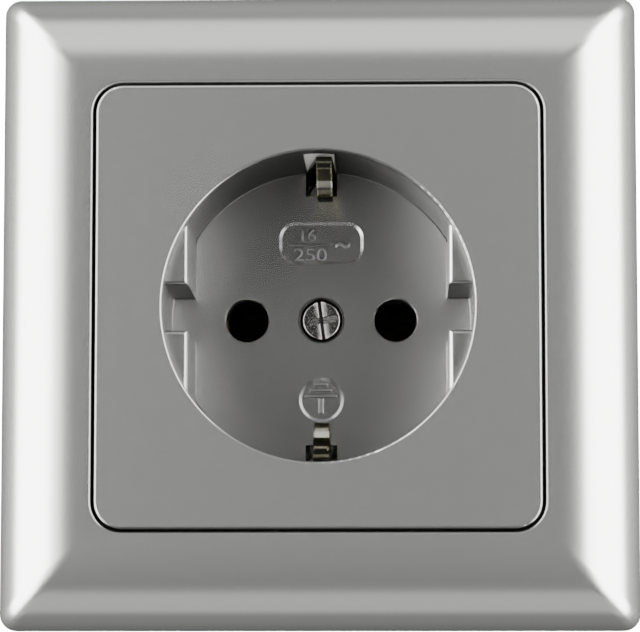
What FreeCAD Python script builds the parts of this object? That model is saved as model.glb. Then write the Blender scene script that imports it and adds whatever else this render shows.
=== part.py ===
import FreeCAD, Part
import math
import os

os.makedirs("parts", exist_ok=True)
V = FreeCAD.Vector

# Sizes that drive the socket, in mm. X is right, Y goes into the wall, Z is up, y = 0 is the wall.
FRAME_SIZE = 79.6          # cover frame, square
FACE_HEIGHT = 10.0         # front face over the wall
PLATE_SIZE = 55.0          # centre plate, square
PLATE_GAP = 0.33           # joint between plate and frame
WELL_RADIUS = 19.25        # plug well at its mouth
WELL_DEPTH = 17.5
PIN_PITCH = 19.0
PIN_HOLE_R = 2.75
PIN_R = 2.4                # plug pin that the contacts grip
BOX_PITCH = 60.0           # fixing screws of the wall box
RING_GAP = 2.3             # support ring to the frame's inner wall
BASE_WALL = 1.65           # thinnest wall of the base, beside the well
BASE_DEPTH = 28.0          # base behind the wall plane
SCREW_HEAD_R = 2.5
SCREW_R = 1.5

# Walls, clearances and small features.
SHELL = 2.0                # moulded skin of plate and frame
WELL_WALL = 1.7
WELL_DRAFT = 0.1           # taper of the well over its depth
RIM_ROUND = 0.32
PLATE_CORNER = 3.7
FRAME_CORNER = 2.1         # at the foot of the frame, sharper towards the flat
MITRE_ROUND = 0.45
EDGE = 0.35                # rounded edges either side of the joint
SKIRT = 1.5
LEDGE_DEPTH = 5.5          # plate skirt lands here, below the face
LEDGE = 1.5
FLAT_BORDER = 1.8          # flat strip of the frame beside the joint
GUIDE_IN = 3.1             # guide faces stand in from the well wall
GUIDE_TOP = 2.2
GUIDE_EDGE = 0.5
GROOVE = 5.7               # groove between upper and lower guide rib
SLOT = 4.0                 # earth slots
SLOT_IN = 3.25             # earth slots reach in from the well wall
SLOT_TOP = 2.6
HEAD_RECESS_R = 2.72
HOLE_EDGE = 0.15           # broken edge of the holes in the well floor
FLOOR_BEVEL = 0.13         # well wall into well floor
POCKET = 0.18              # depth of the marking pockets
POCKET_SLOPE = 0.38        # their walls slope in as far as this
NOSE = 0.97                # half width of the earth springs at the mouth
SHEET = 1.0                # steel of ring and strap
STRIP = 0.8                # brass of the contacts
SPRING = 0.6
CLEAR = 0.2
SPRING_EDGE = 0.18
PEG_R = 1.3
COVER = 2.0

# Levels along Y that several pieces share.
FACE = -FACE_HEIGHT
FLOOR = FACE + WELL_DEPTH
FLOOR_BACK = FLOOR + SHELL
STRAP_Y = FLOOR_BACK + 1.6          # front of the earth strap, the screw boss lands on it
STRAP_BACK = STRAP_Y + SHEET
BASE_FRONT = FLOOR_BACK + CLEAR
WELL_OUT = WELL_RADIUS + WELL_WALL
CUP_R = WELL_OUT + 0.4
RING_HOLE = CUP_R + 0.6
RING_SIZE = FRAME_SIZE - 2 * (SHELL + RING_GAP)
BASE_SIZE = 2 * (CUP_R + BASE_WALL)
GUIDE_CHORD = WELL_RADIUS - GUIDE_IN
SLOT_INNER = WELL_RADIUS - SLOT_IN
TAB_Z = RING_HOLE                   # inner face of the ring's bent tabs
PRONG_R = WELL_RADIUS + 0.05        # inner face of the strap's prongs
PIN_X = PIN_PITCH / 2
RIVET_AT = BASE_SIZE / 2 - 5.3      # corner rivets and pegs
EARTH_RIVET_Z = SLOT_INNER + 0.3

# Contacts and clamp terminals hang from the back of the base.
MOUTH = BASE_DEPTH - 13.0           # where the pin meets the contact
TAIL = PIN_X + 7.0                  # inner face of the tail plate
CAGE_IN = TAIL - 3.4
CAGE_OUT = TAIL + STRIP + 2.9
CAGE_Y0, CAGE_Y1 = MOUTH + 2.5, MOUTH + 9.5
CAGE_W = 8.2
EARTH_X = 10.0                      # earth terminal, right of centre, at the bottom


def box(x0, x1, y0, y1, z0, z1):
    return Part.makeBox(x1 - x0, y1 - y0, z1 - z0, V(x0, y0, z0))


def rod(x, z, r, y0, y1):
    return Part.makeCylinder(r, y1 - y0, V(x, y0, z), V(0, 1, 0))


def funnel(x, z, r0, r1, y0, y1):
    return Part.makeCone(r0, r1, y1 - y0, V(x, y0, z), V(0, 1, 0))


def rounded_outline(half_x, half_z, r, y):
    """Closed wire of a rounded rectangle at one level."""
    edges = []
    for sx, sz in ((1, 1), (-1, 1), (-1, -1), (1, -1)):
        c = V(sx * (half_x - r), y, sz * (half_z - r))
        ends = [c + V(sx * r, 0, 0), c + V(0, 0, sz * r)]
        if sx * sz < 0:
            ends.reverse()
        mid = c + V(sx * r, 0, sz * r) * math.sqrt(0.5)
        if edges:
            edges.append(Part.makeLine(edges[-1].Vertexes[-1].Point, ends[0]))
        edges.append(Part.Arc(ends[0], mid, ends[1]).toShape())
    edges.append(Part.makeLine(edges[-1].Vertexes[-1].Point, edges[0].Vertexes[0].Point))
    return Part.Wire(edges)


def slab(half_x, half_z, r, y0, y1):
    return Part.Face(rounded_outline(half_x, half_z, r, y0)).extrude(V(0, y1 - y0, 0))


def turned(points):
    """Solid turned round the Y axis from (radius, y) points; a third value rounds that corner."""
    wire = rounded_path(points, closed=True)
    return Part.Face(wire).revolve(V(0, 0, 0), V(0, 1, 0), 360)


def rounded_path(points, closed):
    """Wire through (a, b) points in the XY plane, corners with a third value are rounded."""
    pts = [V(p[0], p[1], 0) for p in points]
    radii = [p[2] if len(p) > 2 else 0 for p in points]
    n = len(pts)
    starts, ends, arcs = [], [], []
    for i in range(n):
        inner = closed or 0 < i < n - 1
        if not (inner and radii[i]):
            starts.append(pts[i])
            ends.append(pts[i])
            arcs.append(None)
            continue
        u = (pts[i - 1] - pts[i]).normalize()
        w = (pts[(i + 1) % n] - pts[i]).normalize()
        half = u.getAngle(w) / 2
        reach = radii[i] / math.tan(half)
        bisector = (u + w).normalize()
        starts.append(pts[i] + u * reach)
        ends.append(pts[i] + w * reach)
        mid = pts[i] + bisector * (radii[i] / math.sin(half) - radii[i])
        arcs.append(Part.Arc(starts[i], mid, ends[i]).toShape())
    edges = []
    for i in range(n if closed else n - 1):
        if arcs[i]:
            edges.append(arcs[i])
        a, b = ends[i], starts[(i + 1) % n]
        if (a - b).Length > 1e-6:
            edges.append(Part.makeLine(a, b))
    return Part.Wire(edges)


def bent_strip(path, thick, low, high, upright=False):
    """Sheet strip bent along a middle line of (a, b, bend radius) points, from low to high across.

    The line lies in the XY plane; upright strips have it in the ZY plane instead.
    """
    sides = []
    for side in (thick / 2, -thick / 2):
        line = []
        for i, p in enumerate(path):
            here = V(p[0], p[1], 0)
            before = (here - V(path[i - 1][0], path[i - 1][1], 0)).normalize() if i else None
            after = None
            if i < len(path) - 1:
                after = (V(path[i + 1][0], path[i + 1][1], 0) - here).normalize()
            if before is None or after is None:
                d = before or after
                q = here + V(-d.y, d.x, 0) * side
                line.append((q.x, q.y))
                continue
            turn = 1 if before.cross(after).z > 0 else -1
            half = before.getAngle(after) / 2
            normal = (V(-before.y, before.x, 0) + V(-after.y, after.x, 0)).normalize()
            q = here + normal * (side / math.cos(half))
            line.append((q.x, q.y, p[2] - turn * side))
        sides.append(line)
    face = Part.Face(rounded_path(sides[0] + sides[1][::-1], closed=True))
    solid = face.extrude(V(0, 0, high - low))
    solid.translate(V(0, 0, low))
    if upright:
        solid.rotate(V(0, 0, 0), V(0, 1, 0), -90)
    return solid


def mirrored_z(shape):
    return shape.mirror(V(0, 0, 0), V(0, 0, 1))


def on_level(shape, y, keep=lambda e: True):
    """Edges of a shape that lie on one level of Y."""
    return [e for e in shape.Edges
            if e.BoundBox.YLength < 1e-4 and abs(e.BoundBox.YMin - y) < 1e-4 and keep(e)]


# Cover frame: pillow-shaped moulded square, hollow at the back.
def pillow(skin, steps):
    """Solid under the pillow surface, moved inward by the skin thickness."""
    opening = PLATE_SIZE / 2 + PLATE_GAP
    flat = opening + FLAT_BORDER
    run = FRAME_SIZE / 2 - skin - flat
    drop = 0.85 * FACE_HEIGHT - skin
    outlines = []
    for k in range(steps + 1):
        a = math.radians(90.0 * k / steps)
        half = flat + run * math.sin(a)
        corner = MITRE_ROUND + (FRAME_CORNER - MITRE_ROUND) * (1 - math.cos(a))
        outlines.append(rounded_outline(half, half, corner, FACE + skin + drop * (1 - math.cos(a))))
    dome = Part.makeLoft(outlines, True, True)
    rim = FRAME_SIZE / 2 - skin
    return dome.fuse(slab(rim, rim, FRAME_CORNER, FACE + 0.85 * FACE_HEIGHT, 0))


def cover_frame():
    opening = PLATE_SIZE / 2 + PLATE_GAP
    collar = opening + SKIRT
    frame = pillow(0, 18).cut(pillow(SHELL, 3))
    inside = pillow(SHELL / 2, 3)
    ledge_back = FACE + LEDGE_DEPTH + LEDGE
    frame = frame.fuse(slab(collar, collar, PLATE_CORNER + SKIRT, FACE + 1, ledge_back))
    for k in range(4):
        for across in (-20.0, 20.0):
            rib = box(collar - 0.3, FRAME_SIZE / 2 - SHELL / 2, FACE + 1, -SHEET,
                      across - 0.6, across + 0.6)
            rib.rotate(V(0, 0, 0), V(0, 1, 0), 90 * k)
            frame = frame.fuse(rib.common(inside))
    # four stiff corner webs where the frame presses the ring flat
    for sx in (1, -1):
        for sz in (1, -1):
            web = box(-0.6, 0.6, FACE + 1, -SHEET, collar * 1.3, FRAME_SIZE / 2 * 1.32)
            web.rotate(V(0, 0, 0), V(0, 1, 0), 45 if sx * sz > 0 else -45)
            if sz < 0:
                web = mirrored_z(web)
            frame = frame.fuse(web.common(inside))
    frame = frame.cut(slab(opening, opening, PLATE_CORNER, FACE - 1, FACE + LEDGE_DEPTH))
    inner = opening - 2.2
    frame = frame.cut(slab(inner, inner, PLATE_CORNER - 1.5, FACE - 1, 1))
    mouth = on_level(frame, FACE, lambda e: e.BoundBox.XMax < opening + 0.01 and
                     e.BoundBox.XMin > -opening - 0.01 and abs(e.BoundBox.ZMax) < opening + 0.01
                     and e.BoundBox.ZMin > -opening - 0.01)
    return frame.makeFillet(EDGE, mouth)


# Centre plate: face, skirt and plug well in one moulding.
def guide_ribs():
    """Two guide ribs a side, each the segment outside a chord, parted by the groove."""
    top, foot = FACE + GUIDE_TOP, FLOOR + 0.5
    ribs = []
    for low, high in ((GROOVE / 2, WELL_OUT), (-WELL_OUT, -GROOVE / 2)):
        wire = rounded_path([(GUIDE_CHORD, top), (GUIDE_CHORD - 0.05, foot),
                             (WELL_OUT, foot), (WELL_OUT, top)], closed=True)
        rib = Part.Face(wire).extrude(V(0, 0, high - low))
        rib.translate(V(0, 0, low))
        rib = rib.common(rod(0, 0, WELL_RADIUS + WELL_WALL / 2, top - 1, foot + 1))
        rim = on_level(rib, top, lambda e: e.Curve.TypeId == "Part::GeomLine")
        ribs.append(rib.makeFillet(GUIDE_EDGE, rim))
    ribs += [r.mirror(V(0, 0, 0), V(1, 0, 0)) for r in ribs]
    return ribs


def centre_plate():
    half = PLATE_SIZE / 2
    plate = slab(half, half, PLATE_CORNER - PLATE_GAP, FACE, FACE + LEDGE_DEPTH)
    plate = plate.makeFillet(EDGE, on_level(plate, FACE))
    inside = slab(half - SKIRT, half - SKIRT, PLATE_CORNER - SKIRT, FACE + SHELL, 1)
    plate = plate.cut(inside)
    # the well's wall and floor, with the screw boss behind the floor
    boss = SCREW_HEAD_R + 2.2
    plate = plate.fuse(turned([(0, FACE + 0.5), (WELL_OUT, FACE + 0.5), (WELL_OUT, FLOOR_BACK),
                               (boss, FLOOR_BACK), (boss, STRAP_Y), (0, STRAP_Y)]))
    for k in range(8):
        web = box(WELL_OUT - 0.3, half + 4, FACE + 1, FACE + LEDGE_DEPTH - 1, -0.5, 0.5)
        web.rotate(V(0, 0, 0), V(0, 1, 0), 22.5 + 45 * k)
        plate = plate.fuse(web.common(slab(half - 0.5, half - 0.5, 2, FACE, 0)))
    # plug well, rim rounded into the face
    a = WELL_RADIUS
    rim = Part.Arc(V(a, FACE + RIM_ROUND, 0),
                   V(a + RIM_ROUND * (1 - math.sqrt(0.5)), FACE + RIM_ROUND * (1 - math.sqrt(0.5)), 0),
                   V(a + RIM_ROUND, FACE, 0)).toShape()
    top = FACE - 1
    path = [V(a + RIM_ROUND, FACE, 0), V(a + RIM_ROUND, top, 0), V(0, top, 0), V(0, FLOOR, 0),
            V(a - WELL_DRAFT, FLOOR, 0), V(a, FACE + RIM_ROUND, 0)]
    lines = [Part.makeLine(p, q) for p, q in zip(path, path[1:])]
    plate = plate.cut(Part.Face(Part.Wire([rim] + lines)).revolve(V(0, 0, 0), V(0, 1, 0), 360))
    for rib in guide_ribs():
        plate = plate.fuse(rib)
    plate = plate.makeChamfer(FLOOR_BEVEL, on_level(plate, FLOOR))
    # pin holes, screw recess and the seat of the screw retainer behind it
    for sx in (1, -1):
        plate = plate.cut(rod(sx * PIN_X, 0, PIN_HOLE_R, FLOOR - 1, FLOOR_BACK + 1))
        plate = plate.cut(funnel(sx * PIN_X, 0, PIN_HOLE_R + HOLE_EDGE, PIN_HOLE_R,
                                 FLOOR, FLOOR + HOLE_EDGE))
    plate = plate.cut(rod(0, 0, HEAD_RECESS_R, FLOOR - 1, HEAD_SEAT))
    plate = plate.cut(funnel(0, 0, HEAD_RECESS_R + HOLE_EDGE, HEAD_RECESS_R, FLOOR, FLOOR + HOLE_EDGE))
    plate = plate.cut(rod(0, 0, SCREW_R + CLEAR, FLOOR, STRAP_Y + 1))
    plate = plate.cut(rod(0, 0, RETAINER_R + 0.1, STRAP_Y - 1.0, STRAP_Y + 1))
    # earth slots through floor and wall
    for sz in (1, -1):
        z0, z1 = sorted((sz * SLOT_INNER, sz * (WELL_OUT + 1)))
        plate = plate.cut(box(-SLOT / 2, SLOT / 2, FACE + SLOT_TOP, FLOOR_BACK + 1, z0, z1))
    # the two shallow marking pockets in the floor, with sloping walls
    mark = Part.makeLoft([rounded_outline(5.4 - d, 2.72 - d, 2.1 - d, FLOOR + d * POCKET / POCKET_SLOPE)
                          for d in (0, POCKET_SLOPE)], True, True)
    mark.translate(V(0, 0, 9.95))
    plate = plate.cut(mark)
    return plate.cut(funnel(0, -10.2, 2.86, 2.86 - POCKET_SLOPE, FLOOR, FLOOR + POCKET))


# Centre screw: pan head with slot and cross recess.
HEAD_SEAT = FLOOR + 1.7
HEAD_H = 1.5
RETAINER_R = 2.8
BUSH_LEN = 5.5


def centre_screw():
    top = HEAD_SEAT - HEAD_H
    tip = STRAP_BACK + BUSH_LEN + 1.5
    screw = turned([(0, top), (SCREW_HEAD_R, top, 0.7), (SCREW_HEAD_R, HEAD_SEAT),
                    (SCREW_R, HEAD_SEAT), (SCREW_R, tip - 0.5), (SCREW_R - 0.5, tip), (0, tip)])
    reach = SCREW_HEAD_R + 1
    cuts = [box(-reach, reach, top - 1, top + 0.8, -0.25, 0.25)]
    # the slot's edges are broken wide, and the cross wings slope down to the middle
    cuts.append(Part.makeWedge(-reach, top - 0.01, -0.85, -0.2, -reach,
                               reach, top + 0.45, 0.85, 0.2, reach))
    cuts.append(Part.makeWedge(-0.45, top - 0.01, -1.75, -0.25, -0.4,
                               0.45, top + 0.9, 1.75, 0.25, 0.4))
    for cut in cuts:
        screw = screw.cut(cut)
    screw.rotate(V(0, 0, 0), V(0, 1, 0), 82.5)
    return screw


def screw_retainer():
    washer = rod(0, 0, RETAINER_R, STRAP_Y - 0.9, STRAP_Y - 0.3)
    return washer.cut(rod(0, 0, SCREW_R, FLOOR, STRAP_Y))


def threaded_bush():
    bush = turned([(SCREW_R, STRAP_Y), (SCREW_R + 1.0, STRAP_Y), (SCREW_R + 1.0, STRAP_BACK),
                   (SCREW_R + 1.7, STRAP_BACK), (SCREW_R + 1.7, STRAP_BACK + BUSH_LEN),
                   (SCREW_R, STRAP_BACK + BUSH_LEN)])
    return bush


# Support ring: sheet steel plate with two tabs bent back along the base.
def support_ring():
    half = RING_SIZE / 2
    ring = slab(half, half, 3.0, -SHEET, 0)
    for k in range(4):
        corner = box(-6, 6, -2, 1, -6, 6)
        corner.rotate(V(0, 0, 0), V(0, 1, 0), 45)
        corner.translate(V(half * (1 if k % 2 else -1), 0, half * (1 if k > 1 else -1)))
        ring = ring.cut(corner)
    ring = ring.cut(rod(0, 0, RING_HOLE, -2, 1))
    for k in range(4):
        slot = box(BOX_PITCH / 2 - 1.6, BOX_PITCH / 2 + 1.6, -2, 1, -1.95, 1.95)
        for dx in (-1.6, 1.6):
            slot = slot.fuse(rod(BOX_PITCH / 2 + dx, 0, 1.95, -2, 1))
        notch = box(half - 1.2, half + 1, -2, 1, -3, 3)
        for cut in (slot, notch):
            cut.rotate(V(0, 0, 0), V(0, 1, 0), 90 * k)
            ring = ring.cut(cut)
    foot_z = EARTH_RIVET_Z - 2.5
    mid = STRAP_BACK + SHEET / 2
    for flip in (False, True):
        tab = bent_strip([(TAB_Z + SHEET * 2.5, -SHEET / 2), (TAB_Z + SHEET / 2, -SHEET / 2, 1.0),
                          (TAB_Z + SHEET / 2, mid, 1.0), (foot_z, mid)], SHEET, -4, 4, upright=True)
        tab = tab.cut(rod(0, EARTH_RIVET_Z, 1.25, 0, BASE_DEPTH))
        ring = ring.fuse(mirrored_z(tab) if flip else tab)
    for sx in (1, -1):
        for sz in (1, -1):
            ring = ring.cut(rod(sx * RIVET_AT, sz * RIVET_AT, PEG_R, -2, 1))
            ring = ring.cut(rod(sx * (half - 9.2), sz * (half - 9.2), 1.7, -2, 1))
    return ring.removeSplitter()


# Earth strap: steel strip across the base with two upright prongs and a wing to the terminal.
def earth_strap():
    mid = STRAP_Y + SHEET / 2
    top = FACE + SLOT_TOP + 0.3
    corner = PRONG_R + SHEET / 2
    strap = bent_strip([(-corner, top), (-corner, mid, 1.0), (corner, mid, 1.0), (corner, top)],
                       SHEET, -4, 4, upright=True)
    # the upright ends are narrowed to prongs that stand in the wall slots
    prong = SLOT / 2 - 0.1
    for side in (1, -1):
        x0, x1 = sorted((side * prong, side * 5))
        for sz in (1, -1):
            z0, z1 = sorted((sz * (SLOT_INNER + 3), sz * (corner + 1)))
            strap = strap.cut(box(x0, x1, top - 1, STRAP_Y - 0.6, z0, z1))
    tail = TAIL + STRIP - SHEET / 2
    wing = bent_strip([(-EARTH_WING, mid), (-tail, mid, 1.0), (-tail, CAGE_Y1 + 0.6)],
                      SHEET, -EARTH_X - 3, -EARTH_X + 3, upright=True)
    wing = wing.fuse(box(3, EARTH_X + 3, STRAP_Y, STRAP_BACK, -tail + 2, -EARTH_WING))
    strap = strap.fuse(wing)
    strap = strap.cut(rod(0, 0, SCREW_R + 1.0, STRAP_Y - 1, STRAP_BACK + 1))
    for sz in (1, -1):
        strap = strap.cut(rod(0, sz * EARTH_RIVET_Z, 1.25, STRAP_Y - 1, STRAP_BACK + 1))
    return strap.removeSplitter()


EARTH_WING = 8.5           # inner edge of the strap's wing, below the centre


# Earth spring: foot, tapering outer leg, fold at the mouth, knuckle and tail in the floor slot.
def earth_spring(aside):
    """Upper spring; its nose stands a little aside, as the strip was cut."""
    foot = STRAP_Y - SPRING / 2
    leg = PRONG_R - SPRING / 2 - 0.05
    tail = SLOT_INNER + 0.75
    mouth = WELL_RADIUS - 0.75
    path = [(EARTH_RIVET_Z - 2.6, foot), (leg, foot, 0.7), (leg, FLOOR - 4.5, 4.0),
            (mouth, FACE + 2.1, 0.5), (mouth - 1.0, FACE + 1.9, 0.45),
            (mouth - 2.2, FACE + 4.3, 0.5), (mouth - 4.15, FACE + 5.35, 1.5),
            (mouth - 4.15, FACE + 9.4, 2.0), (tail, FLOOR - 3.5, 2.0), (tail, FLOOR_BACK - 0.3)]
    # the nose is as narrow as the fold, its long edges bevelled
    nose = bent_strip(path, SPRING, -aside - NOSE, -aside + NOSE, upright=True)
    nose = nose.makeChamfer(SPRING_EDGE, [e for e in nose.Edges
                                          if e.BoundBox.XLength < 1e-4 and abs(e.Length - SPRING) > 1e-3])
    parting = mouth - 0.7
    nose = nose.common(box(-5, 5, FACE, FLOOR_BACK, 0, parting))
    # the rest keeps a wide foot and an outer leg that tapers to the fold
    wide = SLOT / 2 - CLEAR
    top = FACE + LEDGE_DEPTH / 2
    taper = Part.makePolygon([V(-wide, STRAP_Y + 1, 0), V(-wide, FLOOR, 0), V(aside - NOSE, top, 0),
                              V(aside - NOSE, FACE, 0), V(aside + NOSE, FACE, 0),
                              V(aside + NOSE, top, 0), V(wide, FLOOR, 0), V(wide, STRAP_Y + 1, 0),
                              V(-wide, STRAP_Y + 1, 0)])
    leg_blank = Part.Face(taper).extrude(V(0, 0, 5))
    leg_blank.translate(V(0, 0, parting))
    leg_blank = leg_blank.fuse(box(-wide, wide, FLOOR_BACK + 0.05, STRAP_Y + 1, 0, parting + 1))
    strip = bent_strip(path, SPRING, -wide - 1, wide + 1, upright=True)
    spring = strip.common(leg_blank).fuse(nose)
    return spring.cut(rod(0, EARTH_RIVET_Z, 1.25, FLOOR_BACK, STRAP_Y + 1)).removeSplitter()


def earth_rivets():
    front, back = STRAP_Y - SPRING, STRAP_BACK + SHEET
    rivet = turned([(0, front - 0.5), (1.5, front - 0.5), (1.9, front - 0.2), (1.9, front),
                    (1.25, front), (1.25, back), (2.0, back), (2.0, back + 0.3), (1.5, back + 0.6),
                    (0, back + 0.6)])
    up, down = rivet.copy(), rivet.copy()
    up.translate(V(0, 0, EARTH_RIVET_Z))
    down.translate(V(0, 0, -EARTH_RIVET_Z))
    return Part.makeCompound([up, down])


# Line contact: one brass strip bent to two leaves and a tail plate in the clamp.
GRIP = PIN_R - 0.25
CLIP_Y = MOUTH + 5.0
CLIP = 0.45
LEAF = 6.4


def contact():
    grip = GRIP + STRIP / 2
    tail = TAIL + STRIP / 2
    floor = BASE_DEPTH - 0.9
    path = [(PIN_X - grip - 0.55, MOUTH - 0.4), (PIN_X - grip, MOUTH + 2.2, 1.5),
            (PIN_X - grip, floor, 1.2), (PIN_X + grip, floor, 1.2),
            (PIN_X + grip, MOUTH, 0.9), (tail, MOUTH, 0.9), (tail, CAGE_Y1 + 0.6)]
    return bent_strip(path, STRIP, -LEAF / 2, LEAF / 2)


def contact_clip():
    """Spring clip wrapped round the outer faces of both leaves and one edge."""
    side = GRIP + STRIP + CLIP / 2
    over = LEAF / 2 + 0.3 + CLIP / 2
    clip = bent_strip([(-side, -over + 0.6), (-side, over, 0.4), (side, over, 0.4),
                       (side, -over + 0.6)], CLIP, 0, 3.0)
    clip.rotate(V(0, 0, 0), V(1, 0, 0), 90)
    clip.translate(V(PIN_X, CLIP_Y + 3.0, 0))
    return clip


def clamp_cage():
    """Bent clamp frame for the right-hand pole; its thick outer wall carries the screw."""
    half = CAGE_W / 2
    cage = box(CAGE_IN, CAGE_OUT, CAGE_Y0, CAGE_Y1, -half, half)
    long_edges = [e for e in cage.Edges if e.BoundBox.YLength > 1]
    cage = cage.makeFillet(0.8, long_edges)
    cage = cage.cut(box(CAGE_IN + 0.8, CAGE_OUT - 2.0, CAGE_Y0 - 1, CAGE_Y1 + 1, -half + 0.8, half - 0.8))
    return cage.cut(Part.makeCylinder(1.75, 6, V(CAGE_OUT - 3, (CAGE_Y0 + CAGE_Y1) / 2, 0), V(1, 0, 0)))


def clamp_screw():
    tip = TAIL + STRIP
    head = CAGE_OUT + 0.6
    screw = turned([(0, tip), (1.35, tip), (1.75, tip + 0.4), (1.75, head), (2.6, head),
                    (2.6, head + 1.4), (2.3, head + 1.7), (0, head + 1.7)])
    screw = screw.cut(box(-3, 3, head + 0.8, head + 2, -0.4, 0.4))
    screw.rotate(V(0, 0, 0), V(0, 0, 1), -90)
    screw.translate(V(0, (CAGE_Y0 + CAGE_Y1) / 2, 0))
    return screw


def to_left(shape):
    return shape.mirror(V(0, 0, 0), V(1, 0, 0))


def to_earth(shape):
    """Turn a right-hand terminal piece to the bottom of the base."""
    moved = shape.copy()
    moved.rotate(V(0, 0, 0), V(0, 1, 0), 90)
    moved.translate(V(EARTH_X, 0, 0))
    return moved


# Base: cup round the well, strap channel, contact and terminal chambers open to the back.
def terminal_chamber():
    half = CAGE_W / 2 + 0.3
    room = box(CAGE_IN - 0.2, CAGE_OUT + 0.2, MOUTH - 0.8, BASE_DEPTH + 1, -half, half)
    y = (CAGE_Y0 + CAGE_Y1) / 2
    return room.fuse(Part.makeCylinder(3.1, 12, V(CAGE_OUT - 1, y, 0), V(1, 0, 0)))


def socket_base():
    half = BASE_SIZE / 2
    base = slab(half, half, 10.0, 0, BASE_DEPTH)
    base = base.cut(rod(0, 0, CUP_R, -1, BASE_FRONT))
    # channel of the strap, deeper where the ring's feet lie under it
    base = base.cut(box(-4.3, 4.3, BASE_FRONT - 1, STRAP_BACK, -CUP_R, CUP_R))
    foot = STRAP_BACK + SHEET
    for sz in (1, -1):
        z0, z1 = sorted((sz * (EARTH_RIVET_Z - 2.8), sz * (TAB_Z + 0.1)))
        base = base.cut(box(-4.3, 4.3, STRAP_BACK - 1, foot, z0, z1))
        z0, z1 = sorted((sz * (TAB_Z - 0.8), sz * (half + 1)))
        base = base.cut(box(-4.3, 4.3, -1, foot, z0, z1))
        base = base.cut(rod(0, sz * EARTH_RIVET_Z, 2.2, STRAP_BACK, foot + 0.8))
    wing_z = -TAIL - STRIP - 0.2
    base = base.cut(box(0, EARTH_X + 3.2, BASE_FRONT - 1, STRAP_BACK, wing_z, -EARTH_WING + 0.2))
    base = base.cut(rod(0, 0, SCREW_R + 1.9, BASE_FRONT, STRAP_BACK + BUSH_LEN + 2.2))
    base = base.cut(rod(0, 0, SCREW_HEAD_R + 2.4, BASE_FRONT - 1, STRAP_Y + 0.1))
    for sx in (1, -1):
        # pin entry with a lead-in, leaf chamber, clip room
        base = base.cut(rod(sx * PIN_X, 0, PIN_HOLE_R + 0.2, BASE_FRONT - 1, MOUTH))
        base = base.cut(funnel(sx * PIN_X, 0, PIN_HOLE_R + 0.8, PIN_HOLE_R + 0.2,
                               BASE_FRONT, BASE_FRONT + 0.8))
        reach = GRIP + STRIP + CLIP + 0.15
        x0, x1 = sorted((sx * (PIN_X - reach), sx * (PIN_X + reach + 0.5)))
        base = base.cut(box(x0, x1, MOUTH - 0.8, BASE_DEPTH + 1, -LEAF / 2 - 0.9, LEAF / 2 + 0.9))
    room = terminal_chamber()
    neck = box(TAIL - 0.9, TAIL + STRIP + 0.2, BASE_FRONT, CAGE_Y0, -3.2, 3.2)
    for piece in (room, to_left(room), to_earth(room), to_earth(neck)):
        base = base.cut(piece)
    # cored pockets where there is no terminal
    for x, z in ((1, 1), (-1, 1), (-1, -1)):
        core = box(-4.0, 4.0, STRAP_BACK + 3.5, BASE_DEPTH + 1, -4.6, 4.6)
        core.translate(V(x * 9.6, 0, z * 10.8))
        base = base.cut(core)
    for sx in (1, -1):
        for sz in (1, -1):
            x, z = sx * RIVET_AT, sz * RIVET_AT
            if sx * sz > 0:
                base = base.cut(rod(x, z, PEG_R, -1, BASE_DEPTH + 1))
            else:
                base = base.fuse(rod(x, z, PEG_R, -SHEET, 1))
    return base.removeSplitter()


def rear_cover():
    half = BASE_SIZE / 2
    cover = slab(half, half, 10.0, BASE_DEPTH, BASE_DEPTH + COVER)
    cover = cover.makeChamfer(0.6, on_level(cover, BASE_DEPTH + COVER))
    entry = (CAGE_IN + 0.8 + TAIL) / 2
    spots = [(entry, w) for w in (-1.6, 1.6)] + [(-entry, w) for w in (-1.6, 1.6)]
    spots += [(EARTH_X + w, -entry) for w in (-1.6, 1.6)]
    for x, z in spots:
        cover = cover.cut(rod(x, z, 1.25, BASE_DEPTH - 1, BASE_DEPTH + COVER + 1))
    for s in (1, -1):
        cover = cover.cut(rod(s * RIVET_AT, s * RIVET_AT, PEG_R, BASE_DEPTH - 1, BASE_DEPTH + COVER + 1))
    # plugs that drop into the cored pockets and keep the cover in place
    for x, z in ((1, 1), (-1, 1), (-1, -1)):
        plug = box(-3.9, 3.9, BASE_DEPTH - 2.0, BASE_DEPTH + 0.5, -4.5, 4.5)
        plug = plug.cut(box(-2.9, 2.9, BASE_DEPTH - 3.0, BASE_DEPTH, -3.5, 3.5))
        plug.translate(V(x * 9.6, 0, z * 10.8))
        cover = cover.fuse(plug)
    return cover.removeSplitter()


def ring_rivets():
    front, back = -SHEET, BASE_DEPTH + COVER
    rivet = turned([(PEG_R - 0.5, front - 0.5), (PEG_R + 0.6, front - 0.5), (PEG_R + 0.9, front - 0.2),
                    (PEG_R + 0.9, front), (PEG_R, front), (PEG_R, back), (PEG_R + 0.8, back),
                    (PEG_R + 0.8, back + 0.2), (PEG_R + 0.5, back + 0.5), (PEG_R - 0.5, back + 0.5)])
    both = []
    for s in (1, -1):
        one = rivet.copy()
        one.translate(V(s * RIVET_AT, 0, s * RIVET_AT))
        both.append(one)
    return Part.makeCompound(both)


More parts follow.
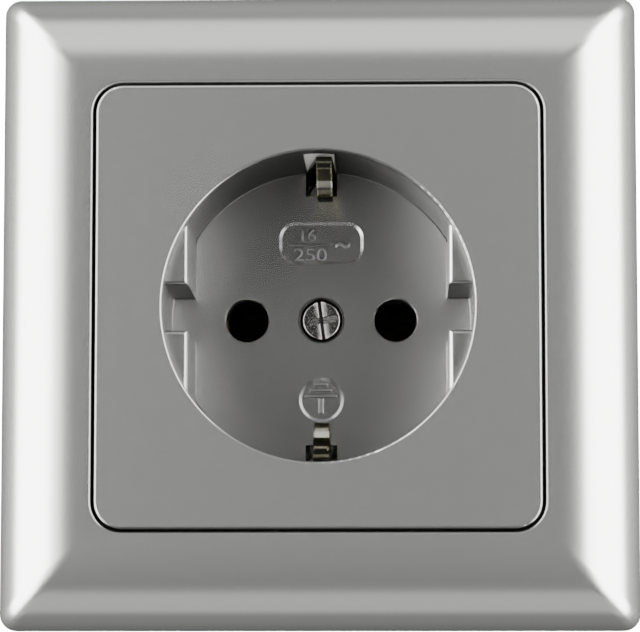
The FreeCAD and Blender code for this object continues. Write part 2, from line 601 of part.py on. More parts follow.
line, clip, cage, screw = contact(), contact_clip(), clamp_cage(), clamp_screw()
nodes = {
    "cover_frame": cover_frame(),
    "centre_plate": centre_plate(),
    "centre_screw": centre_screw(),
    "screw_retainer": screw_retainer(),
    "threaded_bush": threaded_bush(),
    "support_ring": support_ring(),
    "socket_base": socket_base(),
    "rear_cover": rear_cover(),
    "earth_strap": earth_strap(),
    "earth_spring_top": earth_spring(0.7),
    "earth_spring_bottom": mirrored_z(earth_spring(0.33)),
    "earth_rivets": earth_rivets(),
    "ring_rivets": ring_rivets(),
    "live_contact": line,
    "neutral_contact": to_left(line),
    "live_contact_clip": clip,
    "neutral_contact_clip": to_left(clip),
    "live_clamp_cage": cage,
    "neutral_clamp_cage": to_left(cage),
    "earth_clamp_cage": to_earth(cage),
    "live_terminal_screw": screw,
    "neutral_terminal_screw": to_left(screw),
    "earth_terminal_screw": to_earth(screw),
}
for name, shape in nodes.items():
    shape.exportStep("parts/" + name + ".step")
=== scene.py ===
import math

import bmesh
import bpy
from mathutils import Matrix, Vector


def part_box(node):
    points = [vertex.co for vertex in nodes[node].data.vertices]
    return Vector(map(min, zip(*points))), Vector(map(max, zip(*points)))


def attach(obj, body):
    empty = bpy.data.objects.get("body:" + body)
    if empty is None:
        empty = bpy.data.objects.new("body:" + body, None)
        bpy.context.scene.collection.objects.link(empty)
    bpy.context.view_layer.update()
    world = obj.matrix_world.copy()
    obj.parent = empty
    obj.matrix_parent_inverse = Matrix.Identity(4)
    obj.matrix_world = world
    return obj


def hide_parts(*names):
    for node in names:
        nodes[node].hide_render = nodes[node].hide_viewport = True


# Flush-mounted earthed wall socket seen from the room. X right, Y into the wall, Z up, metres.
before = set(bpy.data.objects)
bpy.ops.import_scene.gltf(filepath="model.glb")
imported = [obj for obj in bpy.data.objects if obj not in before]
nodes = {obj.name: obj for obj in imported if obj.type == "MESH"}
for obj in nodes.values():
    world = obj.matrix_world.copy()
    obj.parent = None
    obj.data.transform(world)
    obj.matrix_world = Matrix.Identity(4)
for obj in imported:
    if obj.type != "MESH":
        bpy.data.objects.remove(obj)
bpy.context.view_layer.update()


# Cover frame: one moulded thermoplastic square with a pillow section, sprayed with satin silver
# lacquer whose fine aluminium flake shows as a faint cloudiness. It lies loose on the wall and the
# centre plate's skirt clamps it.
def shader_of(finish):
    return finish.node_tree.nodes["Principled BSDF"]


def start_finish(name, colour, metallic, roughness):
    """A new material with the plain values of its shader set."""
    finish = bpy.data.materials.new(name)
    finish.use_nodes = True
    shader = shader_of(finish)
    shader.inputs["Base Color"].default_value = (*colour, 1)
    shader.inputs["Metallic"].default_value = metallic
    shader.inputs["Roughness"].default_value = roughness
    return finish


def clouds(finish, scale, stretch=(1, 1, 1)):
    """Noise on the piece's own coordinates, stretched along an axis for rolled or drawn metal."""
    tree = finish.node_tree
    place = tree.nodes.new("ShaderNodeTexCoord")
    turn = tree.nodes.new("ShaderNodeMapping")
    turn.inputs["Scale"].default_value = stretch
    noise = tree.nodes.new("ShaderNodeTexNoise")
    noise.inputs["Scale"].default_value = scale
    noise.inputs["Detail"].default_value = 3.0
    tree.links.new(place.outputs["Object"], turn.inputs["Vector"])
    tree.links.new(turn.outputs["Vector"], noise.inputs["Vector"])
    return noise.outputs["Fac"]


def tint(finish, pattern, dark, light, low=0.35, high=0.65):
    """Colour that drifts between two shades."""
    tree = finish.node_tree
    ramp = tree.nodes.new("ShaderNodeValToRGB")
    for mark, position, shade in zip(ramp.color_ramp.elements, (low, high), (dark, light)):
        mark.position = position
        mark.color = (*shade, 1)
    tree.links.new(pattern, ramp.inputs["Fac"])
    tree.links.new(ramp.outputs["Color"], shader_of(finish).inputs["Base Color"])


def axes_of(tree, kind, output):
    """X, Y and Z of what a node of this kind reads, such as the place of a point."""
    read = tree.nodes.new(kind)
    split = tree.nodes.new("ShaderNodeSeparateXYZ")
    tree.links.new(read.outputs[output], split.inputs[0])
    return split.outputs


def reckon(tree, operation, *values):
    """Result of a sum, product or comparison of numbers and node outputs."""
    step = tree.nodes.new("ShaderNodeMath")
    step.operation = operation
    for socket, value in zip(step.inputs, values):
        if isinstance(value, float):
            socket.default_value = value
        else:
            tree.links.new(value, socket)
    return step.outputs[0]


def mixed(tree, amount, under, over):
    """Two colours mixed by an amount, each three numbers or the output of a node."""
    mix = tree.nodes.new("ShaderNodeMix")
    mix.data_type = "RGBA"
    tree.links.new(amount, mix.inputs["Factor"])
    for name, colour in (("A", under), ("B", over)):
        if isinstance(colour, tuple):
            mix.inputs[name].default_value = (*colour, 1)
        else:
            tree.links.new(colour, mix.inputs[name])
    return mix.outputs["Result"]


def paint_shading(finish, colour, *amounts):
    """Painted light or shade: another colour over the finish, where and as far as all the amounts
    say.
    """
    tree = finish.node_tree
    amount = amounts[0]
    for other in amounts[1:]:
        amount = reckon(tree, "MULTIPLY", amount, other)
    surface = shader_of(finish).inputs["Base Color"]
    tree.links.new(mixed(tree, amount, surface.links[0].from_socket, colour), surface)


def dress(finish, *names):
    for name in names:
        nodes[name].data.materials.clear()
        nodes[name].data.materials.append(finish)


def silver_lacquer(name):
    lacquer = start_finish(name, (0.55, 0.55, 0.54), 0.95, 0.252)
    shader_of(lacquer).inputs["Specular Tint"].default_value = (0.4, 0.4, 0.4, 1)
    tint(lacquer, clouds(lacquer, 5200.0), (0.543, 0.543, 0.533), (0.557, 0.557, 0.547))
    return lacquer


frame_lacquer = silver_lacquer("silver_lacquer_frame")

# painted shade: the rounded edge of the opening is darkened to damp its highlight, less so where it
# looks down
OPENING_EDGE = 0.02818          # half size of the opening with its rounded edge
FLAT = -0.97                    # Y of the normal of a face that looks straight into the room
LOOKS_DOWN = -0.15
tree = frame_lacquer.node_tree
place = axes_of(tree, "ShaderNodeTexCoord", "Object")
facing = axes_of(tree, "ShaderNodeNewGeometry", "True Normal")
beside = reckon(tree, "ABSOLUTE", place["X"])
above = reckon(tree, "ABSOLUTE", place["Z"])
at_opening = reckon(tree, "LESS_THAN", reckon(tree, "MAXIMUM", beside, above), OPENING_EDGE)
rounded = reckon(tree, "GREATER_THAN", facing["Y"], FLAT)
aslant = reckon(tree, "ADD", reckon(tree, "ABSOLUTE", facing["X"]), facing["Z"])
opening_edge_shade = mixed(tree, reckon(tree, "LESS_THAN", aslant, LOOKS_DOWN),
                  (0.17, 0.17, 0.165), (0.45, 0.45, 0.44))
paint_shading(frame_lacquer, opening_edge_shade, rounded, at_opening)
dress(frame_lacquer, "cover_frame")

# the visible skin: the node's mesh welded, its pillow drawn again in finer steps, mitres rounder
PILLOW_TOP, PILLOW_FOOT = -0.0100, -0.0015      # the face and the foot of the pillow, in Y
PILLOW_IN, PILLOW_OUT = 0.02963, 0.0398         # half sizes there
MITRE_IN, MITRE_OUT = 0.00045, 0.0021           # corner radius there
MITRE_SOFT = 0.0007                             # how much rounder a mitre is half-way
BESIDE_MITRE = 0.0008                           # a side's last point stands this far from it
PILLOW_STEPS, MITRE_STEPS = 36, 16
SEAM_REACH = 0.001                              # the inner seam is further in front of the foot
ON_PILLOW, SLACK = 0.00004, 0.001               # how near a point of the old pillow has to be
CREASE = 26                                     # edges that turn by more degrees stay sharp


def pillow_level(angle):
    """Half size, corner radius and Y of the pillow where it has turned by an angle."""
    return (PILLOW_IN + (PILLOW_OUT - PILLOW_IN) * math.sin(angle),
            MITRE_IN + (MITRE_OUT - MITRE_IN) * (1 - math.cos(angle)),
            PILLOW_TOP + (PILLOW_FOOT - PILLOW_TOP) * (1 - math.cos(angle)))


def on_pillow(point):
    turn = (point.y - PILLOW_TOP) / (PILLOW_FOOT - PILLOW_TOP)
    if not -SLACK <= turn <= 1 + SLACK:
        return False
    half, corner, _ = pillow_level(math.acos(min(1.0, max(-1.0, 1 - turn))))
    over = Vector((abs(point.x) - half + corner, abs(point.z) - half + corner))
    out = Vector((max(over.x, 0), max(over.y, 0))).length + min(max(over), 0) - corner
    return abs(out) < ON_PILLOW


bm = bmesh.new()
bm.from_mesh(nodes["cover_frame"].data)
bmesh.ops.remove_doubles(bm, verts=bm.verts, dist=1e-6)
old = [f for f in bm.faces if all(on_pillow(v.co) for v in f.verts)
       and max(v.co.y for v in f.verts) > PILLOW_TOP + 1e-5]
bmesh.ops.delete(bm, geom=old, context="FACES")
seam = {v for e in bm.edges if e.is_boundary for v in e.verts}
rings = [[v for v in seam if v.co.y < PILLOW_FOOT - SEAM_REACH]]
for step in range(1, PILLOW_STEPS):
    turn = math.pi / 2 * step / PILLOW_STEPS
    half, corner, y = pillow_level(turn)
    corner += MITRE_SOFT * math.sin(2 * turn)
    middle = half - corner
    side = [(half, -middle + BESIDE_MITRE), (half, middle - BESIDE_MITRE)]
    for k in range(MITRE_STEPS + 1):
        t = math.pi / 2 * k / MITRE_STEPS
        side.append((middle + corner * math.cos(t), middle + corner * math.sin(t)))
    ring = []
    for quarter in range(4):
        away = Matrix.Rotation(math.pi / 2 * quarter, 4, "Y")
        ring += [bm.verts.new(away @ Vector((x, y, -z))) for x, z in side]
    rings.append(ring)
rings.append([v for v in seam if v.co.y >= PILLOW_FOOT - SEAM_REACH])


def bearing(vert):
    return math.atan2(vert.co.z, vert.co.x)


def zip_rings(inner, outer):
    """Triangles between two closed rings, walked round by bearing."""
    inner, outer = sorted(inner, key=bearing), sorted(outer, key=bearing)
    ends_in = [bearing(v) for v in inner[1:]] + [bearing(inner[0]) + math.tau]
    ends_out = [bearing(v) for v in outer[1:]] + [bearing(outer[0]) + math.tau]
    i = k = 0
    while i < len(inner) or k < len(outer):
        here, there = inner[i % len(inner)], outer[k % len(outer)]
        if k == len(outer) or (i < len(inner) and ends_in[i] < ends_out[k]):
            i += 1
            bm.faces.new((here, inner[i % len(inner)], there))
        else:
            k += 1
            bm.faces.new((here, outer[k % len(outer)], there))


for inner, outer in zip(rings, rings[1:]):
    zip_rings(inner, outer)
bmesh.ops.recalc_face_normals(bm, faces=bm.faces)
bm.verts.index_update()
mesh = bpy.data.meshes.new("cover_frame_skin")
mesh.from_pydata([v.co for v in bm.verts], [], [[v.index for v in f.verts] for f in bm.faces])
bm.free()
mesh.shade_smooth()
mesh.set_sharp_from_angle(angle=math.radians(CREASE))
mesh.materials.append(frame_lacquer)
skin = bpy.data.objects.new("cover_frame_skin", mesh)
bpy.context.collection.objects.link(skin)
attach(skin, "root")
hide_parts("cover_frame")


# Centre plate: face, plug well, guide ribs and screw boss in one moulding, same satin lacquer.
# The deep well is sprayed too, so its floor and wall have the face's finish. Painted shade darkens
# its edges, undersides and other places, and painted light brightens a few, as set out below.
def fade(tree, value, start, end, low=0.0, high=1.0):
    """Amount that goes from low to high as a value goes from start to end."""
    span = tree.nodes.new("ShaderNodeMapRange")
    for name, number in (("From Min", start), ("From Max", end), ("To Min", low), ("To Max", high)):
        span.inputs[name].default_value = number
    tree.links.new(value, span.inputs["Value"])
    return span.outputs["Result"]


def greys(tree, value, *stops):
    """Greys set out along a value, each stop a place on it and a brightness."""
    ramp = tree.nodes.new("ShaderNodeValToRGB")
    marks = ramp.color_ramp.elements
    marks.remove(marks[-1])
    marks[0].position = stops[0][0]
    for position, _ in stops[1:]:
        marks.new(position)
    for mark, (_, grey) in zip(marks, stops):
        mark.color = (grey, grey, grey, 1)
    tree.links.new(value, ramp.inputs["Fac"])
    return ramp.outputs["Color"]


plate_lacquer = silver_lacquer("silver_lacquer_plate")
tree = plate_lacquer.node_tree
place = axes_of(tree, "ShaderNodeTexCoord", "Object")
facing = axes_of(tree, "ShaderNodeNewGeometry", "True Normal")

# painted shade: rounded edges darkened to damp their highlights, then undersides darkened as if in
# shade
to_room = reckon(tree, "MULTIPLY", facing["Y"], -1.0)
paint_shading(plate_lacquer, (0.20, 0.20, 0.195),
       greys(tree, to_room, (0.0, 0.0), (0.55, 1.0), (0.95, 1.0), (0.99, 0.0)))
downwards = reckon(tree, "MULTIPLY", facing["Z"], -1.0)
paint_shading(plate_lacquer, (0.16, 0.16, 0.155),
       greys(tree, downwards, (0.0, 0.0), (0.45, 0.0), (0.85, 1.0), (1.0, 1.0)))

# slopes of the marking pockets: painted light and shade, their sides darkened, their top and bottom
# kept lighter, most of all the upper pocket's top
POCKET_TILT, TILT_RANGE = 0.43, 0.03            # Z of a slope's normal at its steepest
POCKET_FACING = -0.904                          # Y of it
POCKET_AT, POCKET_REACH = 0.00759, 0.0001       # middle of the slopes in Y, and half their depth
round_slope = fade(tree, facing["Z"], -POCKET_TILT, POCKET_TILT)
lower = greys(tree, round_slope, (0.0, 0.42), (0.07, 0.10), (0.84, 0.10), (1.0, 0.17))
upper = greys(tree, round_slope, (0.0, 0.95), (0.07, 0.085), (0.68, 0.085), (0.84, 0.50))
above_screw = reckon(tree, "GREATER_THAN", place["Z"], 0.0)
paint_shading(plate_lacquer, mixed(tree, above_screw, lower, upper),
       reckon(tree, "COMPARE", facing["Y"], POCKET_FACING, TILT_RANGE),
       reckon(tree, "COMPARE", place["Y"], POCKET_AT, POCKET_REACH))

# upper edge of the plate, where it looks up: painted light, lighter than the other edges
EDGE_FROM, LOOKS_UP = 0.0250, 0.15
aslant = reckon(tree, "SUBTRACT", facing["Z"], reckon(tree, "ABSOLUTE", facing["X"]))
paint_shading(plate_lacquer, (0.52, 0.52, 0.51),
       reckon(tree, "GREATER_THAN", aslant, LOOKS_UP),
       reckon(tree, "GREATER_THAN", place["Z"], EDGE_FROM))

# right-hand wall of the well: painted light, brighter than the left-hand wall
RIGHT_FROM, BEHIND_RIM = 0.003, -0.0087
paint_shading(plate_lacquer, (0.74, 0.74, 0.725),
       reckon(tree, "GREATER_THAN", place["X"], RIGHT_FROM),
       reckon(tree, "GREATER_THAN", place["Y"], BEHIND_RIM),
       fade(tree, facing["X"], -0.80, -0.20, 1.0, 0.0))

# narrow bevel between the well's round wall and its floor: painted shade, darkened to damp its
# highlight
BEVEL_FACING, BEVEL_RANGE = -0.707, 0.08        # Y of its normal
BEVEL_AT, BEVEL_REACH = 0.00743, 0.00007        # middle of the bevel in Y, and half its depth
ROUND_FROM = 0.0100                             # beside this height the wall is flat
paint_shading(plate_lacquer, (0.07, 0.07, 0.068),
       reckon(tree, "COMPARE", facing["Y"], BEVEL_FACING, BEVEL_RANGE),
       reckon(tree, "COMPARE", place["Y"], BEVEL_AT, BEVEL_REACH),
       reckon(tree, "GREATER_THAN", reckon(tree, "ABSOLUTE", place["Z"]), ROUND_FROM))

# rim of the screw's recess: rounded, and darkened as a painted shadow round the screw
RIM_IN, RIM_OUT = 0.00288, 0.00302              # radii between which the painted shadow fades out
square_x = reckon(tree, "MULTIPLY", place["X"], place["X"])
square_z = reckon(tree, "MULTIPLY", place["Z"], place["Z"])
from_axis = reckon(tree, "SQRT", reckon(tree, "ADD", square_x, square_z))
paint_shading(plate_lacquer, (0.07, 0.07, 0.068), fade(tree, from_axis, RIM_IN, RIM_OUT, 1.0, 0.0))
dress(plate_lacquer, "centre_plate")

# Rating figures: current over voltage with the sign for alternating current, moulded in relief on
# the floor of the upper marking pocket and sprayed with the plate; their edges are darkened as
# painted shade to damp their highlights.
relief_lacquer = silver_lacquer("silver_lacquer_relief")
shader_of(relief_lacquer).inputs["Roughness"].default_value = 0.29
tree = relief_lacquer.node_tree
facing = axes_of(tree, "ShaderNodeNewGeometry", "True Normal")
# painted shade: faces that do not look into the room are darkened
paint_shading(relief_lacquer, (0.24, 0.24, 0.235), reckon(tree, "GREATER_THAN", facing["Y"], FLAT))
MARK_TOP = 0.00755          # front of the relief, a little behind the well floor
MARK_FOOT = 0.00773         # sunk into the pocket's floor


def raised_bar(bm, x0, x1, z0, z1, edge):
    """Straight stroke with bevelled edges, added to the relief."""
    middle = Vector(((x0 + x1) / 2, (MARK_TOP + MARK_FOOT) / 2, (z0 + z1) / 2))
    size = Matrix.Diagonal((x1 - x0, MARK_FOOT - MARK_TOP, z1 - z0, 1))
    made = bmesh.ops.create_cube(bm, size=1.0, matrix=Matrix.Translation(middle) @ size)
    front = [e for e in {e for v in made["verts"] for e in v.link_edges}
             if all(abs(v.co.y - MARK_TOP) < 1e-7 for v in e.verts)]
    bmesh.ops.bevel(bm, geom=front, offset=edge, segments=3, profile=0.5, affect="EDGES",
                    material=-1)


def raised_figures(bm, figures, x0, x1, z0, z1):
    """Figures in relief that fill a given box, added to the relief."""
    line = bpy.data.curves.new("figures", "FONT")
    line.body = figures
    line.extrude = 0.03                         # in the letters' own units, as the next ones
    line.bevel_depth = 0.02
    line.bevel_resolution = 1
    line.offset = -0.02
    cut = bpy.data.objects.new("figures", line)
    flat = bpy.data.meshes.new_from_object(cut)
    flat.transform(Matrix.Rotation(math.pi / 2, 4, "X"))
    low = Vector([min(v.co[i] for v in flat.vertices) for i in range(3)])
    high = Vector([max(v.co[i] for v in flat.vertices) for i in range(3)])
    grow = Matrix.Diagonal(((x1 - x0) / (high.x - low.x),
                            (MARK_FOOT - MARK_TOP) / (high.y - low.y),
                            (z1 - z0) / (high.z - low.z), 1))
    flat.transform(Matrix.Translation((x0, MARK_TOP, z0)) @ grow @ Matrix.Translation(-low))
    bm.from_mesh(flat)
    bpy.data.objects.remove(cut)
    bpy.data.curves.remove(line)
    bpy.data.meshes.remove(flat)


def make_piece(name, bm):
    """Object at the origin with a finished shape."""
    mesh = bpy.data.meshes.new(name)
    bm.to_mesh(mesh)
    bm.free()
    piece = bpy.data.objects.new(name, mesh)
    bpy.context.collection.objects.link(piece)
    return piece


def relief_piece(name, bm):
    bmesh.ops.remove_doubles(bm, verts=bm.verts, dist=1e-7)
    bmesh.ops.recalc_face_normals(bm, faces=bm.faces)
    piece = make_piece(name, bm)
    piece.data.materials.append(relief_lacquer)
    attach(piece, "root")


bm = bmesh.new()
raised_figures(bm, "16", -0.00257, -0.00070, 0.01029, 0.01175)
raised_bar(bm, -0.00412, 0.00128, 0.00966, 0.00989, 0.00008)
raised_figures(bm, "250", -0.00352, 0.00069, 0.00771, 0.00931)
raised_figures(bm, "~", 0.00182, 0.00369, 0.00931, 0.01010)
relief_piece("rating_figures", bm)

# Earth symbol: three bars, each shorter than the one below, over an upright stem. It is moulded in
# relief on the floor of the round pocket below the screw and sprayed with the plate.
BAR_HALF, BAR_ASIDE = 0.00018, 0.00007          # half a bar's height, and its step to the left
bm = bmesh.new()
for half, z in ((0.00090, -0.00825), (0.00139, -0.00901), (0.00209, -0.00977)):
    raised_bar(bm, -half - BAR_ASIDE, half - BAR_ASIDE, z - BAR_HALF, z + BAR_HALF, 0.00013)
raised_bar(bm, -0.00042, 0.00033, -0.01200, -0.00997, 0.00014)
relief_piece("earth_symbol", bm)


# Centre screw: cold-headed steel, nickel-plated and a little dulled, with a slot and a shallow
# cross recess that dish the head. It draws the plate back onto the strap's bush. The piece follows
# the CAD screw and adds the soft dishing of the recess, which a driver has worn on one side.
def sheen(finish, pattern, smooth, rough):
    """Roughness that drifts between two values."""
    tree = finish.node_tree
    tree.links.new(fade(tree, pattern, 0.3, 0.7, smooth, rough),
                   shader_of(finish).inputs["Roughness"])


nickel = start_finish("nickel_plate", (0.32, 0.31, 0.295), 1.0, 0.25)
tint(nickel, clouds(nickel, 3000.0), (0.29, 0.28, 0.265), (0.35, 0.34, 0.325))
sheen(nickel, clouds(nickel, 6000.0, (1, 3, 1)), 0.22, 0.28)
dress(nickel, "centre_screw")
low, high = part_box("centre_screw")
HEAD_TOP, HEAD_SEAT, SCREW_TIP = low[1], low[1] + 0.0015, high[1]
HEAD_R, HEAD_ROUND, SHANK_R, TIP_BEVEL = 0.00242, 0.00022, 0.0015, 0.0005
HEAD_STEPS, HEAD_CREASE = 96, 24
SLOT_TURN = 82.5                    # degrees from level at which the slot stands

outline = [(0.0, HEAD_TOP)]
for degrees in range(0, 91, 10):
    a = math.radians(degrees)
    outline.append((HEAD_R - HEAD_ROUND * (1 - math.sin(a)),
                    HEAD_TOP + HEAD_ROUND * (1 - math.cos(a))))
outline += [(HEAD_R, HEAD_SEAT), (SHANK_R, HEAD_SEAT), (SHANK_R, SCREW_TIP - TIP_BEVEL),
            (SHANK_R - TIP_BEVEL, SCREW_TIP), (0.0, SCREW_TIP)]
bm = bmesh.new()
ring = [bm.verts.new((r, y, 0)) for r, y in outline]
edges = [bm.edges.new(pair) for pair in zip(ring, ring[1:])]
bmesh.ops.spin(bm, geom=ring + edges, cent=(0, 0, 0), axis=(0, 1, 0), angle=math.tau,
               steps=HEAD_STEPS, use_merge=True)
bmesh.ops.remove_doubles(bm, verts=bm.verts, dist=1e-7)
bmesh.ops.recalc_face_normals(bm, faces=bm.faces)
screw = make_piece("centre_screw_head", bm)

# each cut: half length, left and right edge at the head's face, the same at its foot, its depth
ALONG = Matrix.Rotation(math.radians(SLOT_TURN), 4, "Y")
CUTTER_RISE = 0.0005                # the cutter carries on in front of the head, edges in line
cutters = []
for face, foot, depth in (
        ((0.0030, -0.00025, 0.00025), (0.0030, -0.00022, 0.00022), 0.0008),
        ((0.0030, -0.00079, 0.00092), (0.0030, -0.00020, 0.00020), 0.00018),
        ((0.00050, -0.00160, 0.00190), (0.00034, -0.00025, 0.00025), 0.00044),
        ((0.00032, 0.00005, 0.00074), (0.00020, 0.00010, 0.00036), 0.00040)):
    bm = bmesh.new()
    front = [edge + (edge - end) * CUTTER_RISE / depth for edge, end in zip(face, foot)]
    for (half, left, right), y in ((front, HEAD_TOP - CUTTER_RISE), (foot, HEAD_TOP + depth)):
        for a in (-half, half):
            for b in (left, right):
                bm.verts.new((a, y, b))
    bmesh.ops.convex_hull(bm, input=bm.verts)
    bmesh.ops.transform(bm, matrix=ALONG, verts=bm.verts)
    bmesh.ops.recalc_face_normals(bm, faces=bm.faces)
    cutter = make_piece("screw_cut", bm)
    cut = screw.modifiers.new("cut", "BOOLEAN")
    cut.operation = "DIFFERENCE"
    cut.solver = "EXACT"
    cut.object = cutter
    cutters.append(cutter)
done = bpy.data.meshes.new_from_object(screw.evaluated_get(bpy.context.evaluated_depsgraph_get()))
bm = bmesh.new()
bm.from_mesh(done)
bmesh.ops.remove_doubles(bm, verts=bm.verts, dist=2e-6)
bmesh.ops.dissolve_degenerate(bm, edges=bm.edges, dist=2e-6)
bmesh.ops.triangulate(bm, faces=bm.faces)
bmesh.ops.dissolve_degenerate(bm, edges=bm.edges, dist=2e-6)
bm.to_mesh(done)
bm.free()
screw.modifiers.clear()
screw.data = done
for cutter in cutters:
    bpy.data.objects.remove(cutter)
done.shade_smooth()
done.set_sharp_from_angle(angle=math.radians(HEAD_CREASE))
done.materials.clear()
done.materials.append(nickel)
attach(screw, "root")
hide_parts("centre_screw")


# Screw retainer: punched washer of natural nylon. It grips the shank behind the plate's boss, so
# the screw stays in the plate.
def relief(finish, pattern, height):
    """Fine relief of a given height in metres."""
    tree = finish.node_tree
    bump = tree.nodes.new("ShaderNodeBump")
    bump.inputs["Distance"].default_value = height
    tree.links.new(pattern, bump.inputs["Height"])
    tree.links.new(bump.outputs["Normal"], shader_of(finish).inputs["Normal"])


nylon = start_finish("white_nylon", (0.80, 0.79, 0.74), 0.0, 0.45)
shader_of(nylon).inputs["Subsurface Weight"].default_value = 0.1
tint(nylon, clouds(nylon, 900.0), (0.77, 0.76, 0.70), (0.83, 0.82, 0.78))
relief(nylon, clouds(nylon, 5000.0), 0.00001)
dress(nylon, "screw_retainer")

# Threaded bush: turned from brass bar and pressed into the strap's middle from behind. Fine rings
# of the tool run round it.
brass = start_finish("brass", (0.78, 0.58, 0.27), 1.0, 0.28)
tint(brass, clouds(brass, 1500.0), (0.72, 0.52, 0.23), (0.82, 0.63, 0.31))
relief(brass, clouds(brass, 900.0, (1, 14, 1)), 0.000008)
dress(brass, "threaded_bush")

# Support ring: punched from galvanised sheet, with two tabs bent back along the base. Grown zinc
# crystals show as grey facets of slightly different shade.
galvanised = start_finish("galvanised_steel", (0.60, 0.62, 0.63), 1.0, 0.42)
tree = galvanised.node_tree
where = tree.nodes.new("ShaderNodeTexCoord")
spangle = tree.nodes.new("ShaderNodeTexVoronoi")
spangle.inputs["Scale"].default_value = 420.0
grey = tree.nodes.new("ShaderNodeRGBToBW")
tree.links.new(where.outputs["Object"], spangle.inputs["Vector"])
tree.links.new(spangle.outputs["Color"], grey.inputs["Color"])
tint(galvanised, grey.outputs["Val"], (0.57, 0.59, 0.60), (0.63, 0.65, 0.66), 0.2, 0.8)
sheen(galvanised, grey.outputs["Val"], 0.39, 0.45)
relief(galvanised, clouds(galvanised, 2500.0, (1, 1, 0.3)), 0.000006)
dress(galvanised, "support_ring")

# Earth strap: matt tinned sheet steel across the base, riveted at both ends. The pale strips
# behind the earth springs are its upright prongs.
tinned = start_finish("tinned_steel", (0.72, 0.71, 0.67), 0.65, 0.58)
tint(tinned, clouds(tinned, 1400.0), (0.64, 0.63, 0.59), (0.76, 0.75, 0.71))
sheen(tinned, clouds(tinned, 2600.0), 0.50, 0.66)
relief(tinned, clouds(tinned, 6000.0), 0.000008)
dress(tinned, "earth_strap")

# Earth springs: nickel-plated bronze strip, gone dark olive in use. A lighter, smoother band
# across the front of each spring, just outside the knuckle, is a painted highlight.
bronze = start_finish("nickel_bronze", (0.14, 0.135, 0.10), 1.0, 0.24)
shader_of(bronze).inputs["Specular Tint"].default_value = (0.15, 0.15, 0.15, 1)
tint(bronze, clouds(bronze, 1600.0, (3, 1, 1)), (0.11, 0.105, 0.075), (0.17, 0.165, 0.125))
BAND_IN, BAND_OUT = 0.0145, 0.0165              # where the band lies, from the socket's middle
BAND_BEHIND = -0.0045                           # it is on the front of the spring only
tree = bronze.node_tree
place = axes_of(tree, "ShaderNodeTexCoord", "Object")
across = fade(tree, reckon(tree, "ABSOLUTE", place["Z"]), BAND_IN, BAND_OUT)
band = greys(tree, across, (0.10, 0.0), (0.50, 0.8), (0.72, 0.8), (0.80, 0.0))
sheen(bronze, band, 0.20, 0.34)
# painted highlight: the band on the front of the spring is lightened
paint_shading(bronze, (0.45, 0.435, 0.375), reckon(tree, "LESS_THAN", place["Y"], BAND_BEHIND), band)
dress(bronze, "earth_spring_top", "earth_spring_bottom")

# Rivets: zinc-plated steel. The short ones close springs, strap and ring together, the long ones
# run through the base's corners to the rear cover.
rivet = start_finish("rivet_steel", (0.60, 0.61, 0.62), 1.0, 0.36)
tint(rivet, clouds(rivet, 1800.0), (0.54, 0.55, 0.56), (0.66, 0.67, 0.68))
sheen(rivet, clouds(rivet, 3500.0), 0.30, 0.44)
dress(rivet, "earth_rivets", "ring_rivets")

# Base: black thermoset moulding that holds contacts and terminals, matt from its mineral filler,
# with faint grey flow marks.
black = start_finish("black_moulding", (0.014, 0.014, 0.015), 0.0, 0.62)
shader_of(black).inputs["Specular IOR Level"].default_value = 0.25
tint(black, clouds(black, 260.0), (0.011, 0.011, 0.012), (0.020, 0.020, 0.021))
sheen(black, clouds(black, 900.0), 0.56, 0.68)
relief(black, clouds(black, 4500.0), 0.000012)
dress(black, "socket_base")

# Rear cover: black thermoplastic lid that closes the contact chambers, held by the long rivets.
# It is a little glossier and finer grained than the base.
lid = start_finish("black_cover", (0.018, 0.018, 0.019), 0.0, 0.40)
tint(lid, clouds(lid, 300.0), (0.015, 0.015, 0.016), (0.024, 0.024, 0.026))
sheen(lid, clouds(lid, 1200.0), 0.34, 0.46)
relief(lid, clouds(lid, 7000.0), 0.000010)
dress(lid, "rear_cover")

# Line contacts: rolled brass strip, bent to two leaves that grip a pin and a tail for the clamp.
# Its dull dark brown is partly tarnish and partly painted shade, so that the pin holes read black.
contact_brass = start_finish("contact_brass", (0.13, 0.10, 0.06), 1.0, 0.42)
tint(contact_brass, clouds(contact_brass, 700.0, (1, 1, 3)),
     (0.10, 0.075, 0.04), (0.17, 0.13, 0.07))
sheen(contact_brass, clouds(contact_brass, 2400.0, (1, 1, 4)), 0.32, 0.48)
dress(contact_brass, "live_contact", "neutral_contact")

# Contact clips: blued spring steel strip, bent round the two leaves of a contact to press them
# together.
blued = start_finish("spring_steel", (0.22, 0.24, 0.28), 1.0, 0.34)
tint(blued, clouds(blued, 1100.0), (0.17, 0.18, 0.22), (0.27, 0.29, 0.33))
sheen(blued, clouds(blued, 3000.0, (1, 4, 1)), 0.28, 0.42)
dress(blued, "live_contact_clip", "neutral_contact_clip")

# Clamp cages: bent zinc-plated steel, thick on the side that carries the screw. Each sits loose
# round the tail that its wire is clamped to.
zinc_cage = start_finish("zinc_steel", (0.62, 0.64, 0.66), 1.0, 0.34)
tint(zinc_cage, clouds(zinc_cage, 1000.0), (0.56, 0.58, 0.60), (0.68, 0.70, 0.71))
sheen(zinc_cage, clouds(zinc_cage, 2800.0), 0.28, 0.42)
dress(zinc_cage, "live_clamp_cage", "neutral_clamp_cage", "earth_clamp_cage")

# Terminal screws: zinc-plated steel with a faint yellow passivation and a slot across the head.
# They are reached from the side of the base.
zinc_screw = start_finish("zinc_screw", (0.68, 0.66, 0.58), 1.0, 0.30)
tint(zinc_screw, clouds(zinc_screw, 1500.0), (0.62, 0.60, 0.50), (0.72, 0.70, 0.64))
sheen(zinc_screw, clouds(zinc_screw, 4000.0), 0.24, 0.38)
dress(zinc_screw, "live_terminal_screw", "neutral_terminal_screw", "earth_terminal_screw")

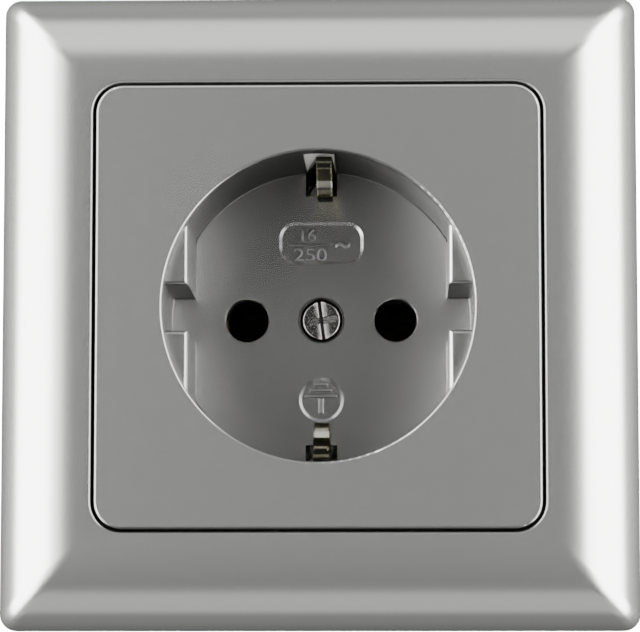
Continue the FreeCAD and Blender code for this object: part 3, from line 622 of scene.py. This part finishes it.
# Camera: a long lens a little below and right of the socket's axis, tilted up at it. Its place and
# tilt were fitted to the photograph.
camera = bpy.data.objects.new("camera", bpy.data.cameras.new("camera"))
bpy.context.collection.objects.link(camera)
camera.data.lens = 192.08
camera.data.sensor_width = 36.0
camera.data.clip_start = 0.01
right = Vector((0.999678, 0.025393, 0.000034))
up = Vector((0.002748, -0.109501, 0.993983))
back = Vector((0.025244, -0.993662, -0.109536))
camera.matrix_world = Matrix.Translation((0.010855, -0.426839, -0.047315)) @ Matrix(
    (right, up, back)).transposed().to_4x4()
bpy.context.scene.camera = camera

# Backdrop: white paper that stands behind the socket and shows in no reflection. It is
# see-through from its back, so that the socket can be seen from behind.
PAPER_HALF, PAPER_AT = 1.2, 0.05    # half its size, and its distance behind the wall plane
upright = Matrix.Translation((0, PAPER_AT, 0)) @ Matrix.Rotation(math.pi / 2, 4, "X")
bm = bmesh.new()
bmesh.ops.create_grid(bm, x_segments=1, y_segments=1, size=PAPER_HALF, matrix=upright)
backdrop = make_piece("backdrop", bm)
paper = start_finish("backdrop", (0, 0, 0), 0.0, 1.0)
shader_of(paper).inputs["Emission Color"].default_value = (1, 1, 1, 1)
shader_of(paper).inputs["Emission Strength"].default_value = 18.0
tree = paper.node_tree
side_seen = tree.nodes.new("ShaderNodeNewGeometry")
clear = tree.nodes.new("ShaderNodeBsdfTransparent")
one_sided = tree.nodes.new("ShaderNodeMixShader")
tree.links.new(side_seen.outputs["Backfacing"], one_sided.inputs["Fac"])
tree.links.new(shader_of(paper).outputs[0], one_sided.inputs[1])
tree.links.new(clear.outputs[0], one_sided.inputs[2])
tree.links.new(one_sided.outputs[0], tree.nodes["Material Output"].inputs["Surface"])
backdrop.data.materials.append(paper)
backdrop.visible_glossy = False
backdrop.visible_diffuse = False

# Room behind the camera: dark in front of the socket, lighter beside, above and behind it.
DARKEST, BESIDE = 0.02, 0.45        # strength in front, and what the sides add
LOW_DOWN, HIGH_UP = 0.16, 0.42      # what the lower and the upper part add
world = bpy.data.worlds.new("studio")
bpy.context.scene.world = world
world.use_nodes = True
tree = world.node_tree
sky = tree.nodes["Background"]
sky.inputs["Color"].default_value = (1, 1, 1, 1)
way = axes_of(tree, "ShaderNodeTexCoord", "Generated")
behind = fade(tree, way["Y"], -0.35, 0.35)
behind.node.interpolation_type = "SMOOTHSTEP"
height = fade(tree, way["Z"], -0.6, 0.6, LOW_DOWN, HIGH_UP)
glow = reckon(tree, "MULTIPLY_ADD", reckon(tree, "MULTIPLY", way["X"], way["X"]), BESIDE, height)
tree.links.new(reckon(tree, "MULTIPLY_ADD", behind, glow, DARKEST), sky.inputs["Strength"])

# Studio light: tall softboxes left and right, brightest in the middle, a weaker one above and a
# weak one below. Each has its place, the way its back points, its width and height, and its power.
for name, spot, rear, sides, watts in (
        ("left", (-0.36, -0.36, 0.16), (-1, 0, 0), (0.78, 0.90), 7.7),
        ("left_core", (-0.355, -0.22, 0.05), (-1, 0, 0), (0.44, 0.90), 13.6),
        ("right", (0.36, -0.26, 0.13), (1, 0, 0), (0.58, 0.90), 5.7),
        ("right_core", (0.355, -0.245, 0.05), (1, 0, 0), (0.49, 0.90), 15.2),
        ("above", (0.0, -0.29, 0.42), (0, -0.29, 0.42), (0.70, 0.42), 1.35),
        ("below", (0.0, -0.12, -0.40), (0, -0.12, -0.40), (0.70, 0.26), 0.36)):
    lamp = bpy.data.lights.new(name, "AREA")
    lamp.shape = "RECTANGLE"
    lamp.size, lamp.size_y = sides
    lamp.energy = watts
    light = bpy.data.objects.new(name, lamp)
    bpy.context.collection.objects.link(light)
    light.location = spot
    light.rotation_euler = Vector(rear).to_track_quat("Z", "Y").to_euler()
